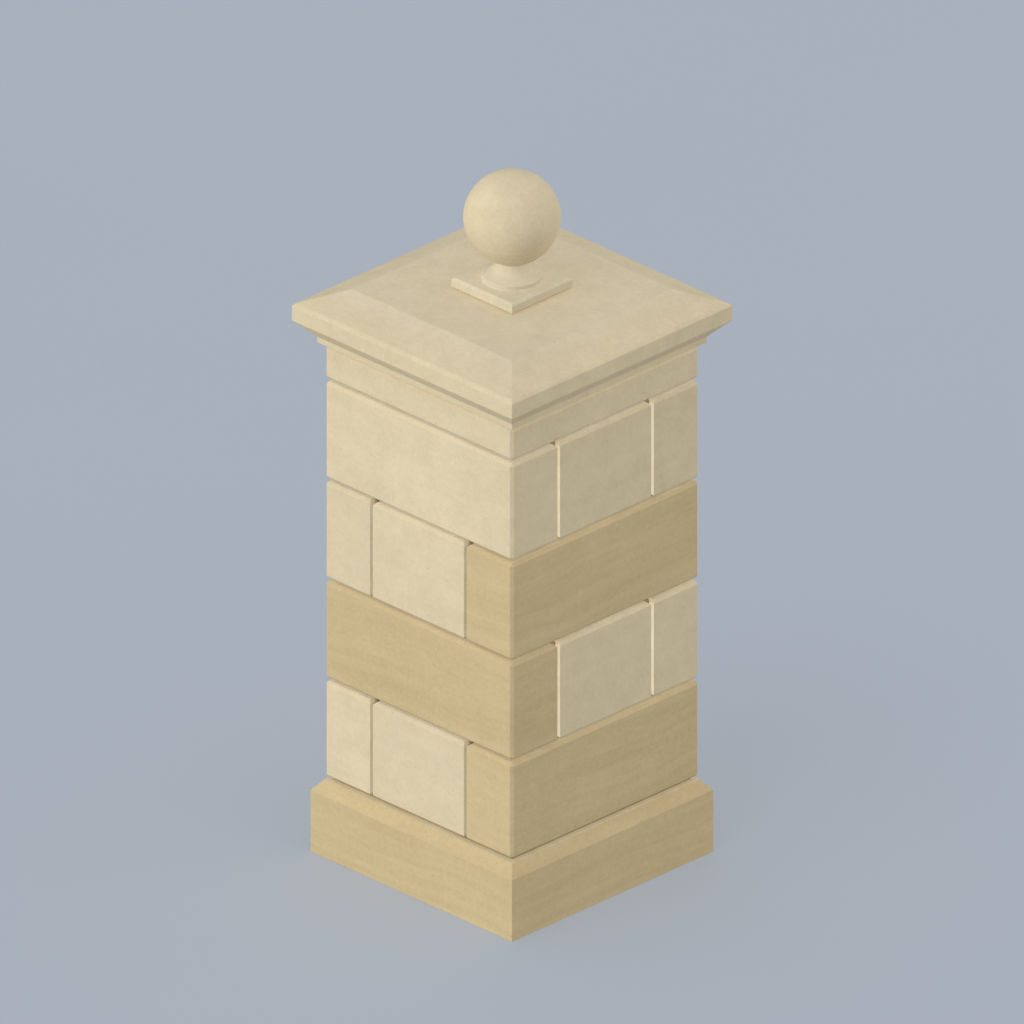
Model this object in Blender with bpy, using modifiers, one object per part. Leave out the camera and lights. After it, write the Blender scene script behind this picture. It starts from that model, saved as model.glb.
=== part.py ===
"""Stone corner pier: a plinth, courses of chamfered ashlar, a neck course, a moulded cap and a ball finial.

Sizes are in metres and +Z is up. The origin is the centre of the plinth's underside.
The front of the pier is -Y and its right side is +X, and those two faces carry the tan stones.
"""

import math

import bmesh
import bpy
from mathutils import Vector

# Shaft: its stones, their chamfered arrises and the joints between them
SHAFT_WIDTH = 0.600
ARRIS = 0.007
JOINT = 0.0075
FIRST_COURSE_HEIGHT = 0.242
COURSE_HEIGHT = 0.2453
END_STONE_WIDTH = 0.14625
NECK_HEIGHT = 0.0825

# Each course from the plinth up: the axis that its stones run along, and its one tan stone
COURSES = (
    ("Y", "right"),
    ("X", "front"),
    ("Y", "right"),
    ("X", None),
)

# Names of a course's three stones, in the order that they stand across it
STONES_ACROSS = {
    "Y": ("left", "middle", "right"),
    "X": ("front", "middle", "back"),
}

# Mortar: how far it is raked back from the face of the shaft
PLINTH_BED_RAKE = 0.014
BED_RAKE = 0.020
UPRIGHT_RAKE = 0.014

# Plinth: an upright face, then a weathering that slopes in to the face of the shaft
PLINTH_PROJECTION = 0.0225
PLINTH_FACE_HEIGHT = 0.156
PLINTH_WEATHERING_HEIGHT = 0.0275

# Cap, from below: fillet, 45 degree soffit, fascia, chamfered arris, weathered slope and flat top
FILLET_PROJECTION = 0.012
FILLET_HEIGHT = 0.015
SOFFIT_PROJECTION = 0.0405
FASCIA_HEIGHT = 0.0375
CAP_ARRIS = 0.007
CAP_SLOPE_RUN = 0.08975
CAP_SLOPE_HEIGHT = 0.036

# Finial: a square plate, and on it a turned foot with a hollow curve up to the neck, and the ball
PLATE_WIDTH = 0.195
PLATE_THICKNESS = 0.029
PLATE_ARRIS = 0.0055
FOOT_RADIUS = 0.070
FOOT_RIM_HEIGHT = 0.0115
HOLLOW_HEIGHT = 0.035
HOLLOW_DEPTH = 0.0077
NECK_RADIUS = 0.034
BALL_RADIUS = 0.111

# Air between solids that touch in the real pier, and how deep joined solids run into each other
CLEARANCE = 0.0003
OVERLAP = 0.004

# Steps of turned shapes, and of the arcs of their profiles
TURNED_STEPS = 60
BALL_STEPS = 28
HOLLOW_STEPS = 8
SQUARE_STEPS = 4

# Places nearer than this are the same
SAME_PLACE = 0.00005


def clear_scene():
    """Removes every object that the file starts with."""
    for old in list(bpy.data.objects):
        bpy.data.objects.remove(old, do_unlink=True)


def new_collection(name):
    """A collection of that name, linked into the scene."""
    made = bpy.data.collections.new(name)
    bpy.context.scene.collection.children.link(made)
    return made


def new_material(name, colour, roughness):
    """A plain Principled material."""
    material = bpy.data.materials.new(name)
    material.use_nodes = True
    shader = material.node_tree.nodes["Principled BSDF"]
    shader.inputs["Base Color"].default_value = (*colour, 1.0)
    shader.inputs["Roughness"].default_value = roughness
    shader.inputs["Metallic"].default_value = 0.0
    material.diffuse_color = (*colour, 1.0)
    return material


def new_object(name, shape, material, collection):
    """An object with the mesh of a bmesh, which it frees."""
    mesh = bpy.data.meshes.new(name)
    shape.to_mesh(mesh)
    shape.free()
    mesh.materials.append(material)
    made = bpy.data.objects.new(name, mesh)
    collection.objects.link(made)
    return made


def box(name, low, high, material, collection):
    """A box between two corners, with its origin at its centre."""
    low, high = Vector(low), Vector(high)
    shape = bmesh.new()
    bmesh.ops.create_cube(shape, size=1.0)
    bmesh.ops.scale(shape, vec=high - low, verts=shape.verts)
    made = new_object(name, shape, material, collection)
    made.location = (low + high) / 2
    return made


def turned(name, profile, steps, smooth, material, collection):
    """A closed solid from a profile of (radius, height) points that runs down its outer side."""
    shape = bmesh.new()
    points = [shape.verts.new((radius, 0.0, height)) for radius, height in profile]
    for upper, lower in zip(points, points[1:]):
        shape.edges.new((upper, lower))
    made = new_object(name, shape, material, collection)
    screw = made.modifiers.new("Turn", "SCREW")
    screw.axis = "Z"
    screw.angle = math.tau
    screw.steps = steps
    screw.render_steps = steps
    screw.use_smooth_shade = smooth
    screw.use_merge_vertices = True
    screw.merge_threshold = SAME_PLACE
    return made


def square_moulding(name, sections, material, collection):
    """A solid of square sections (half width, height) from the top down, mitred at its four corners."""
    top, bottom = sections[0][1], sections[-1][1]
    corners = [(half_width * math.sqrt(2), height) for half_width, height in sections]
    profile = [(0.0, top), *corners, (0.0, bottom)]
    made = turned(name, profile, SQUARE_STEPS, False, material, collection)
    made.rotation_euler.z = math.pi / SQUARE_STEPS
    return made


def chamfer(stone, width, takes_edge):
    """Chamfers each edge of a box whose two end points takes_edge accepts."""
    weights = stone.data.attributes.new("bevel_weight_edge", "FLOAT", "EDGE")
    points = [stone.location + vertex.co for vertex in stone.data.vertices]
    for edge, weight in zip(stone.data.edges, weights.data):
        first, second = (points[i] for i in edge.vertices)
        weight.value = float(takes_edge(first, second))
    bevel = stone.modifiers.new("Chamfer", "BEVEL")
    bevel.width = width
    bevel.segments = 1
    bevel.limit_method = "WEIGHT"


def is_level(first, second):
    """True for an edge whose ends are at one height."""
    return abs(first.z - second.z) < SAME_PLACE


def is_level_or_shaft_corner(first, second):
    """True for a level edge, and for an upright one at a corner of the shaft."""
    inset = SHAFT_WIDTH / 2 - min(abs(first.x), abs(first.y))
    return is_level(first, second) or inset < SAME_PLACE


def join(body, others):
    """Makes one solid of a body and the helpers that overlap it."""
    for other in others:
        other.hide_render = True
        other.display_type = "WIRE"
        union = body.modifiers.new("Join", "BOOLEAN")
        union.operation = "UNION"
        union.solver = "EXACT"
        union.object = other


def upright_joints():
    """Where the two upright joints of a course start and end, measured across it from its centre."""
    first = -SHAFT_WIDTH / 2 + END_STONE_WIDTH
    return (first, first + JOINT), (-first - JOINT, -first)


def course_box(name, runs_along, across, half_length, heights, material, collection):
    """A box in a course, from its extent across the stones, its half length along them and its heights."""
    (start, end), (bottom, top) = across, heights
    low, high = (start, -half_length, bottom), (end, half_length, top)
    if runs_along == "X":
        low, high = (-half_length, start, bottom), (half_length, end, top)
    return box(name, low, high, material, collection)


def build_plinth(tan, collection):
    """The plinth, with its top ledge in line with the shaft. Returns the height of its top."""
    shaft_face = SHAFT_WIDTH / 2
    plinth_face = shaft_face + PLINTH_PROJECTION
    top = PLINTH_FACE_HEIGHT + PLINTH_WEATHERING_HEIGHT
    sections = [(shaft_face, top), (plinth_face, PLINTH_FACE_HEIGHT), (plinth_face, 0.0)]
    square_moulding("plinth", sections, tan, collection)
    return top


def build_bed(name, rake, bottom, mortar, collection):
    """A bed of mortar that fills the level joint above a height, raked back from the shaft's face."""
    reach = SHAFT_WIDTH / 2 - rake
    low = (-reach, -reach, bottom + CLEARANCE)
    high = (reach, reach, bottom + JOINT - CLEARANCE)
    return box(name, low, high, mortar, collection)


def build_course_mortar(number, runs_along, bottom, top, mortar, collection, helpers):
    """The bed under a course and the mortar in its upright joints, as one solid."""
    rake = PLINTH_BED_RAKE if number == 1 else BED_RAKE
    bed = build_bed(f"mortar_course_{number}", rake, bottom, mortar, collection)
    reach = SHAFT_WIDTH / 2 - UPRIGHT_RAKE
    uprights = []
    for start, end in upright_joints():
        name = f"mortar_{number}_upright_{len(uprights)}"
        across = (start + CLEARANCE, end - CLEARANCE)
        heights = (bottom + JOINT / 2, top)
        uprights.append(course_box(name, runs_along, across, reach, heights, mortar, helpers))
    join(bed, uprights)


def build_course_stones(number, runs_along, tan_side, heights, pale, tan, collection):
    """The three stones of a course, each as long as the shaft is wide."""
    face = SHAFT_WIDTH / 2
    first_joint, second_joint = upright_joints()
    spans = ((-face, first_joint[0]), (first_joint[1], second_joint[0]), (second_joint[1], face))
    for side, across in zip(STONES_ACROSS[runs_along], spans):
        material = tan if side == tan_side else pale
        name = f"course_{number}_{side}_stone"
        stone = course_box(name, runs_along, across, face, heights, material, collection)
        chamfer(stone, ARRIS, is_level_or_shaft_corner)


def build_shaft(bottom, pale, tan, mortar, collection, helpers):
    """The courses and their mortar, standing on the plinth. Returns the height of their top."""
    for number, (runs_along, tan_side) in enumerate(COURSES, start=1):
        height = FIRST_COURSE_HEIGHT if number == 1 else COURSE_HEIGHT
        top = bottom + JOINT + height
        build_course_mortar(number, runs_along, bottom, top, mortar, collection, helpers)
        heights = (bottom + JOINT, top)
        build_course_stones(number, runs_along, tan_side, heights, pale, tan, collection)
        bottom = top
    return bottom


def build_neck(bottom, pale, mortar, collection):
    """The shallow course under the cap, on its bed. Returns the height of its top."""
    build_bed("mortar_neck", BED_RAKE, bottom, mortar, collection)
    face = SHAFT_WIDTH / 2
    top = bottom + JOINT + NECK_HEIGHT
    stone = box("neck_course", (-face, -face, bottom + JOINT), (face, face, top), pale, collection)
    chamfer(stone, ARRIS, is_level_or_shaft_corner)
    return top


def build_cap(bottom, pale, mortar, collection):
    """The moulded cap stone, on its bed. Returns the height of its flat top."""
    build_bed("mortar_cap", BED_RAKE, bottom, mortar, collection)
    fillet = SHAFT_WIDTH / 2 + FILLET_PROJECTION
    fascia = fillet + SOFFIT_PROJECTION
    fillet_bottom = bottom + JOINT
    fillet_top = fillet_bottom + FILLET_HEIGHT
    soffit_top = fillet_top + SOFFIT_PROJECTION
    fascia_top = soffit_top + FASCIA_HEIGHT
    slope_bottom = fascia_top + CAP_ARRIS
    top = slope_bottom + CAP_SLOPE_HEIGHT
    sections = [
        (fascia - CAP_ARRIS - CAP_SLOPE_RUN, top),
        (fascia - CAP_ARRIS, slope_bottom),
        (fascia, fascia_top),
        (fascia, soffit_top),
        (fillet, fillet_top),
        (fillet, fillet_bottom),
    ]
    square_moulding("cap_stone", sections, pale, collection)
    return top


def arc(centre, radius, start, end, steps):
    """Points (radius from the axis, height) on an arc, from one angle to another."""
    angles = [start + (end - start) * i / steps for i in range(steps + 1)]
    return [(centre[0] + radius * math.cos(a), centre[1] + radius * math.sin(a)) for a in angles]


def hollow(upper, lower, depth, steps):
    """An arc between two points of a profile, sunk into the stone by a depth at its middle."""
    upper, lower = Vector(upper), Vector(lower)
    chord = lower - upper
    radius = (chord.length_squared / 4 + depth**2) / (2 * depth)
    outward = Vector((-chord.y, chord.x)).normalized()
    centre = (upper + lower) / 2 + outward * (radius - depth)
    start, end = (math.atan2(p.y - centre.y, p.x - centre.x) % math.tau for p in (upper, lower))
    return arc(centre, radius, start, end, steps)


def build_finial(bottom, pale, collection, helpers):
    """The finial, cut from one stone: a square plate, a turned foot and a ball."""
    half = PLATE_WIDTH / 2
    plate_top = bottom + PLATE_THICKNESS
    low, high = (-half, -half, bottom + CLEARANCE), (half, half, plate_top)
    plate = box("ball_finial", low, high, pale, collection)
    chamfer(plate, PLATE_ARRIS, is_level)

    rim_top = plate_top + FOOT_RIM_HEIGHT
    neck_height = rim_top + HOLLOW_HEIGHT
    ball_centre = neck_height + math.sqrt(BALL_RADIUS**2 - NECK_RADIUS**2)
    neck_angle = math.asin(NECK_RADIUS / BALL_RADIUS) - math.pi / 2
    ball = arc((0.0, ball_centre), BALL_RADIUS, math.pi / 2, neck_angle, BALL_STEPS)
    foot = hollow((NECK_RADIUS, neck_height), (FOOT_RADIUS, rim_top), HOLLOW_DEPTH, HOLLOW_STEPS)
    base = plate_top - OVERLAP
    profile = [(0.0, ball[0][1]), *ball[1:], *foot[1:], (FOOT_RADIUS, base), (0.0, base)]
    foot_and_ball = turned("turned_foot_and_ball", profile, TURNED_STEPS, True, pale, helpers)
    join(plate, [foot_and_ball])


def main():
    """Builds the pier from the ground up."""
    clear_scene()
    pier = new_collection("stone corner pier")
    helpers = new_collection("joined shapes")
    pale = new_material("pale limestone", (0.68, 0.58, 0.40), 0.85)
    tan = new_material("tan sandstone", (0.58, 0.46, 0.27), 0.85)
    mortar = new_material("dark lime mortar", (0.19, 0.145, 0.075), 0.95)

    plinth_top = build_plinth(tan, pier)
    shaft_top = build_shaft(plinth_top, pale, tan, mortar, pier, helpers)
    neck_top = build_neck(shaft_top, pale, mortar, pier)
    cap_top = build_cap(neck_top, pale, mortar, pier)
    build_finial(cap_top, pale, pier, helpers)


main()
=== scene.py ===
"""Finish of the stone corner pier: dressed ashlar, mouldings, a turned finial, raked mortar and a studio.

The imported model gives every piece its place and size. Geometry Nodes rebuild each stone with eased
arrises and the slight unevenness of hand dressing, and each block is cut from its own part of a
limestone or sandstone bed. Sizes are in metres. The front of the pier is -Y and its right side is +X.
"""

import logging
import math
from collections.abc import Sequence
from dataclasses import dataclass, replace
from enum import Enum

import bpy
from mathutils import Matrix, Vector


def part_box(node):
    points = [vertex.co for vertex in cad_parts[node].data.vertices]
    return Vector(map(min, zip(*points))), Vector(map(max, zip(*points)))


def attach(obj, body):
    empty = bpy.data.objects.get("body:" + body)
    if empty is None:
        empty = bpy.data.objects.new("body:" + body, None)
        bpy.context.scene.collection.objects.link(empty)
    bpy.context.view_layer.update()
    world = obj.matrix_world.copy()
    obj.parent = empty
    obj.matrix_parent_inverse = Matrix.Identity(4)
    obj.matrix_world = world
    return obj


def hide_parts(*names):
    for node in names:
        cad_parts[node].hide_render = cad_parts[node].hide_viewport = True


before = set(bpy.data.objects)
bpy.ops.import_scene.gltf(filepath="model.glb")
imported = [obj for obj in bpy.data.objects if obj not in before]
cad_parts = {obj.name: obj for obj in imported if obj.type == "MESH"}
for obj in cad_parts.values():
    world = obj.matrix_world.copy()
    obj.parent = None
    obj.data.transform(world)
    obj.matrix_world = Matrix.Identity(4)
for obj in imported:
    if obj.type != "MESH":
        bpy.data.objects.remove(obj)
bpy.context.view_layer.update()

log = logging.getLogger("stone corner pier")

Piece = bpy.types.Object
Material = bpy.types.Material
Socket = bpy.types.NodeSocket
Value = Socket | float | Sequence[float]
Colour = tuple[float, float, float]
Point = tuple[float, float]

ROOT = "root"
ARRIS_MASK = "arris"
CHAMFER_CELLS = 6
CLOSE_ZONE_LIMIT = 0.8
SHORT_RUN = 6
MERGE_DISTANCE = 0.00001
ARRIS_SHIFT = (0.00004, 0.0003)
BRUISE_SCALE = 31.0
BRUISE_LEVELS = (0.52, 0.70)
SQUARE_ON = (0.85, 0.97)
BEHIND_FACE = 0.005
BLOCK_STEP = (1.71, 2.37, 3.13)
SPECK_BENDS = 2.2
SPECK_BEND = 1.1


class Plan(Enum):
    """The path that a moulding's profile is carried round."""

    SQUARE = "square"
    ROUND = "round"


class TreeWriter:
    """Writes a node tree one node at a time. Inputs are plain values or the outputs of other nodes."""

    def __init__(self, tree: bpy.types.NodeTree) -> None:
        """Starts on a tree."""
        self.tree = tree

    def node(
        self, kind: str, inputs: dict[str | int, Value] | None = None, **settings: object
    ) -> bpy.types.Node:
        """Adds a node.

        Args:
            kind: The node's type name.
            inputs: Values or sockets by the input's name or place.
            **settings: Properties of the node, set before its inputs.

        Returns:
            The new node.
        """
        made = self.tree.nodes.new(kind)
        for name, value in settings.items():
            setattr(made, name, value)
        for key, value in (inputs or {}).items():
            if isinstance(value, bpy.types.NodeSocket):
                self.tree.links.new(value, made.inputs[key])
            else:
                made.inputs[key].default_value = value
        return made

    def math(self, operation: str, *values: Value) -> Socket:
        """Adds a sum on numbers, with its inputs in order."""
        return self.node("ShaderNodeMath", dict(enumerate(values)), operation=operation).outputs[0]

    def vector(self, operation: str, *values: Value) -> Socket:
        """Adds a sum on vectors, which gives a number for DOT_PRODUCT and a vector otherwise."""
        made = self.node("ShaderNodeVectorMath", dict(enumerate(values)), operation=operation)
        return made.outputs["Value" if operation == "DOT_PRODUCT" else "Vector"]

    def ramp(self, value: Value, low: float, high: float, start: float = 0.0, end: float = 1.0) -> Socket:
        """Maps low to start and high to end with a smooth step, which stays level past both."""
        inputs = dict(enumerate((value, low, high, start, end)))
        return self.node("ShaderNodeMapRange", inputs, interpolation_type="SMOOTHSTEP").outputs[0]

    def mix(self, share: Value, first: Value, second: Value) -> Socket:
        """Mixes two colours, from the first where the share is 0 to the second where it is 1."""
        inputs = {0: share, 6: as_rgba(first), 7: as_rgba(second)}
        return self.node("ShaderNodeMix", inputs, data_type="RGBA").outputs[2]

    def parts(self, vector: Value) -> tuple[Socket, Socket, Socket]:
        """Splits a vector into its three numbers."""
        return tuple(self.node("ShaderNodeSeparateXYZ", {0: vector}).outputs)

    def joined(self, x: Value, y: Value, z: Value) -> Socket:
        """Makes a vector of three numbers."""
        return self.node("ShaderNodeCombineXYZ", {0: x, 1: y, 2: z}).outputs[0]


class StoneTree(TreeWriter):
    """A geometry tree that shapes one piece, with named inputs that a modifier sets by identifier."""

    SHARED_INPUTS = {
        "Edge Cells": "Int",
        "Edge Zone": "Float",
        "Ease": "Int",
        "Unevenness": "Float",
        "Uneven Scale": "Float",
        "Wear": "Float",
        "Seed": "Int",
        "Material": "Material",
    }

    def __init__(self, name: str, inputs: dict[str, str]) -> None:
        """Makes the tree and its interface.

        Args:
            name: The tree's name.
            inputs: What each of its own inputs takes, by name.
        """
        tree = bpy.data.node_groups.new(name, "GeometryNodeTree")
        super().__init__(tree)
        tree.interface.new_socket("Geometry", in_out="INPUT", socket_type="NodeSocketGeometry")
        for label, kind in (inputs | self.SHARED_INPUTS).items():
            tree.interface.new_socket(label, in_out="INPUT", socket_type=f"NodeSocket{kind}")
        tree.interface.new_socket("Geometry", in_out="OUTPUT", socket_type="NodeSocketGeometry")
        self.given = tree.nodes.new("NodeGroupInput").outputs

    def here(self) -> Socket:
        """Gives the place of each point."""
        return self.node("GeometryNodeInputPosition").outputs[0]

    def moved(self, mesh: Socket, **inputs: Socket) -> Socket:
        """Moves the points of a mesh by an Offset or to a Position."""
        return self.node("GeometryNodeSetPosition", {"Geometry": mesh} | inputs).outputs[0]

    def turned(self, place: Socket, angle: Socket) -> Socket:
        """Turns a place round the pier's axis."""
        inputs = {"Vector": place, "Angle": angle}
        return self.node("ShaderNodeVectorRotate", inputs, rotation_type="Z_AXIS").outputs[0]

    def spread(self, share: Socket, reach: Socket, zone: Socket, edge: Value) -> Socket:
        """Spaces evenly numbered lines so that they stand close together near an edge.

        Args:
            share: Each line's place from 0, at the middle, to 1, at the edge.
            reach: The distance from the middle to the edge.
            zone: The width of the close zone at the edge.
            edge: The share of the lines that lies outside the close zone.

        Returns:
            Each line's distance from the middle.
        """
        inside = self.vector("MINIMUM", self.vector("DIVIDE", share, edge), (1.0, 1.0, 1.0))
        inside = self.vector("MULTIPLY", inside, self.vector("SUBTRACT", reach, zone))
        past = self.vector("MAXIMUM", self.vector("SUBTRACT", share, edge), (0.0, 0.0, 0.0))
        past = self.vector("DIVIDE", past, self.vector("SUBTRACT", (1.0, 1.0, 1.0), edge))
        return self.vector("ADD", inside, self.vector("MULTIPLY", past, zone))

    def noise(self, scale: Value, detail: float) -> Socket:
        """Adds noise over the piece, from 0 to 1, that changes with the seed."""
        inputs = {"Vector": self.here(), "W": self.given["Seed"], "Scale": scale, "Detail": detail}
        return self.node("ShaderNodeTexNoise", inputs, noise_dimensions="4D").outputs[0]

    def dress(self, mesh: Socket) -> None:
        """Eases the arrises of a sharp mesh, wears it back unevenly, and ends the tree.

        Args:
            mesh: The sharp mesh. How far its points move as the arrises are eased is kept as a mask.
        """
        normal = self.node("GeometryNodeInputNormal").outputs[0]
        sharp = self.here()
        inputs = {"Value": sharp, "Iterations": self.given["Ease"], "Weight": 1.0}
        eased = self.node("GeometryNodeBlurAttribute", inputs, data_type="FLOAT_VECTOR").outputs[0]
        shift = self.vector("DOT_PRODUCT", self.vector("SUBTRACT", eased, sharp), normal)
        mask = self.ramp(self.math("MULTIPLY", shift, -1.0), *ARRIS_SHIFT)
        inputs = {"Geometry": mesh, "Name": ARRIS_MASK, "Value": mask}
        marked = self.node("GeometryNodeStoreNamedAttribute", inputs, data_type="FLOAT", domain="POINT")
        mesh = self.moved(marked.outputs[0], Offset=self.vector("MULTIPLY", normal, shift))

        inputs = {"Name": ARRIS_MASK}
        arris = self.node("GeometryNodeInputNamedAttribute", inputs, data_type="FLOAT").outputs[0]
        bruise = self.ramp(self.noise(BRUISE_SCALE, detail=3.0), *BRUISE_LEVELS)
        bruise = self.math("MULTIPLY", self.math("MULTIPLY", bruise, arris), self.given["Wear"])
        uneven = self.noise(self.given["Uneven Scale"], detail=3.0)
        sunk = self.math("MULTIPLY_ADD", uneven, self.given["Unevenness"], bruise)
        mesh = self.moved(mesh, Offset=self.vector("MULTIPLY", normal, self.math("MULTIPLY", sunk, -1.0)))

        mesh = self.node("GeometryNodeSetShadeSmooth", {"Geometry": mesh}).outputs[0]
        mesh = self.node("GeometryNodeRealizeInstances", {"Geometry": mesh}).outputs[0]
        inputs = {"Geometry": mesh, "Material": self.given["Material"]}
        mesh = self.node("GeometryNodeSetMaterial", inputs).outputs[0]
        self.node("NodeGroupOutput", {0: mesh})

    def shape(self, name: str, values: dict[str, object], start: bpy.types.Mesh | None = None) -> Piece:
        """Makes one piece with the tree.

        Args:
            name: The piece's name.
            values: The tree's inputs by name.
            start: The mesh that the tree starts from, if it needs one.

        Returns:
            The piece, as a plain mesh at the origin.
        """
        piece = bpy.data.objects.new(name, start or bpy.data.meshes.new(name))
        bpy.context.scene.collection.objects.link(piece)
        modifier = piece.modifiers.new("Shape", "NODES")
        modifier.node_group = self.tree
        for item in self.tree.interface.items_tree:
            if item.in_out == "INPUT" and item.name in values:
                modifier[item.identifier] = values[item.name]
        return made_plain(piece)


class DressedBlock(StoneTree):
    """A squared block, with chamfers on its level edges and on its upright ones at a shaft's corner."""

    def __init__(self) -> None:
        """Builds the tree."""
        own = {
            "Size": "Vector",
            "Centre": "Vector",
            "Cell": "Vector",
            "Shaft Width": "Float",
            "Chamfer": "Float",
        }
        super().__init__("dressed block", own)
        half = self.vector("MULTIPLY", self.given["Size"], (0.5, 0.5, 0.5))
        edge_cells = self.math("MULTIPLY", self.given["Edge Cells"], 2.0)
        cells = self.vector("CEIL", self.vector("DIVIDE", self.given["Size"], self.given["Cell"]))
        cells = self.vector("ADD", cells, edge_cells)
        counts = zip("XYZ", self.parts(self.vector("ADD", cells, (1.0, 1.0, 1.0))))
        inputs = {"Size": (2.0, 2.0, 2.0)} | {f"Vertices {axis}": count for axis, count in counts}
        cube = self.node("GeometryNodeMeshCube", inputs).outputs[0]

        place = self.here()
        side = self.vector("SIGN", place)
        edge = self.vector("SUBTRACT", (1.0, 1.0, 1.0), self.vector("DIVIDE", edge_cells, cells))
        widest = self.vector("MULTIPLY", half, (CLOSE_ZONE_LIMIT,) * 3)
        zone = self.vector("MINIMUM", self.given["Edge Zone"], widest)
        reach = self.spread(self.vector("ABSOLUTE", place), half, zone, edge)
        inset = self.chamfered(self.vector("SUBTRACT", half, reach))
        inset = self.corner_chamfered(inset, side, half)
        reach = self.vector("MULTIPLY", side, self.vector("SUBTRACT", half, inset))
        self.dress(self.moved(cube, Position=self.vector("ADD", self.given["Centre"], reach)))

    def lacking(self, *insets: Socket) -> Socket:
        """How much two distances from faces have to grow to reach the chamfer between the faces."""
        short = self.math("SUBTRACT", self.given["Chamfer"], self.math("ADD", *insets))
        return self.math("MULTIPLY", self.math("MAXIMUM", short, 0.0), 0.5)

    def chamfered(self, inset: Socket) -> Socket:
        """Moves the points near a level edge to its chamfer.

        Args:
            inset: Each point's distance from the nearest face on each axis.

        Returns:
            The same distances on the chamfered block.
        """
        x, y, z = self.parts(inset)
        from_x = self.lacking(x, z)
        from_y = self.lacking(y, z)
        deeper = self.math("MAXIMUM", from_x, from_y)
        return self.vector("ADD", inset, self.joined(from_x, from_y, deeper))

    def corner_chamfered(self, inset: Socket, side: Socket, half: Socket) -> Socket:
        """Moves the points near a corner of the shaft to the chamfer of its upright arris.

        Args:
            inset: Each point's distance from the nearest face on each axis.
            side: Which side of the block each point is on, as -1 or 1 on each axis.
            half: Half the block's size.

        Returns:
            The same distances with the corner's arris and the small facet at each end of it cut.
        """
        reach = self.vector("MULTIPLY", side, self.vector("SUBTRACT", half, inset))
        place = self.vector("ABSOLUTE", self.vector("ADD", self.given["Centre"], reach))
        face = self.math("MULTIPLY", self.given["Shaft Width"], 0.5)
        x, y, _ = self.parts(self.vector("SUBTRACT", face, place))
        more = self.lacking(x, y)
        inset = self.vector("ADD", inset, self.joined(more, more, 0.0))
        z = self.parts(inset)[2]
        whole = self.math("ADD", self.math("ADD", x, y), self.math("MULTIPLY_ADD", more, 2.0, z))
        short = self.math("SUBTRACT", self.math("MULTIPLY", self.given["Chamfer"], 2.0), whole)
        facet = self.math("DIVIDE", self.math("MAXIMUM", short, 0.0), 3.0)
        return self.vector("ADD", inset, facet)


class SweptMoulding(StoneTree):
    """A profile of (reach, height) points, from the bottom up, carried round a square or a circle."""

    def __init__(self) -> None:
        """Builds the tree."""
        super().__init__("swept moulding", {"Round": "Bool", "Side Cells": "Int"})
        profile = self.given["Geometry"]
        inputs = {"Geometry": profile}
        size = self.node("GeometryNodeAttributeDomainSize", inputs, component="MESH")
        rows = size.outputs["Point Count"]
        cells = self.given["Side Cells"]
        around = self.math("MULTIPLY", cells, 4.0)
        inputs = {"Vertices X": self.math("ADD", around, 1.0), "Vertices Y": rows}
        grid = self.node("GeometryNodeMeshGrid", inputs).outputs[0]

        index = self.node("GeometryNodeInputIndex").outputs[0]
        column = self.math("FLOOR", self.math("DIVIDE", self.math("ADD", index, 0.5), rows))
        row = self.math("SUBTRACT", index, self.math("MULTIPLY", column, rows))
        inputs = {"Geometry": profile, "Value": self.here(), "Index": row}
        point = self.node("GeometryNodeSampleIndex", inputs, data_type="FLOAT_VECTOR", domain="POINT")
        reach, _, height = self.parts(point.outputs[0])

        square = self.on_square(column, cells, reach, height)
        turn = self.math("MULTIPLY", self.math("DIVIDE", column, around), math.tau)
        circle = self.turned(self.joined(reach, 0.0, height), turn)
        inputs = {"Switch": self.given["Round"], "False": square, "True": circle}
        place = self.node("GeometryNodeSwitch", inputs, input_type="VECTOR").outputs[0]
        inputs = {"Geometry": self.moved(grid, Position=place), "Distance": MERGE_DISTANCE}
        self.dress(self.node("GeometryNodeMergeByDistance", inputs).outputs[0])

    def on_square(self, column: Socket, cells: Socket, reach: Socket, height: Socket) -> Socket:
        """Places each point on a square, with its columns close together near the mitred corners.

        Args:
            column: The number of each point's column, counted round from the first corner.
            cells: How many columns a side has.
            reach: Half the square's width at each point.
            height: Each point's height.

        Returns:
            Each point's place.
        """
        side = self.math("FLOOR", self.math("DIVIDE", self.math("ADD", column, 0.5), cells))
        step = self.math("SUBTRACT", column, self.math("MULTIPLY", side, cells))
        share = self.math("SUBTRACT", self.math("MULTIPLY", self.math("DIVIDE", step, cells), 2.0), 1.0)
        edge_cells = self.math("MULTIPLY", self.given["Edge Cells"], 2.0)
        edge = self.math("SUBTRACT", 1.0, self.math("DIVIDE", edge_cells, cells))
        widest = self.math("MULTIPLY", reach, CLOSE_ZONE_LIMIT)
        zone = self.math("MINIMUM", self.given["Edge Zone"], widest)
        along = self.parts(self.spread(self.math("ABSOLUTE", share), reach, zone, edge))[0]
        along = self.math("MULTIPLY", along, self.math("SIGN", share))
        return self.turned(self.joined(reach, along, height), self.math("MULTIPLY", side, math.pi / 2))


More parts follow.
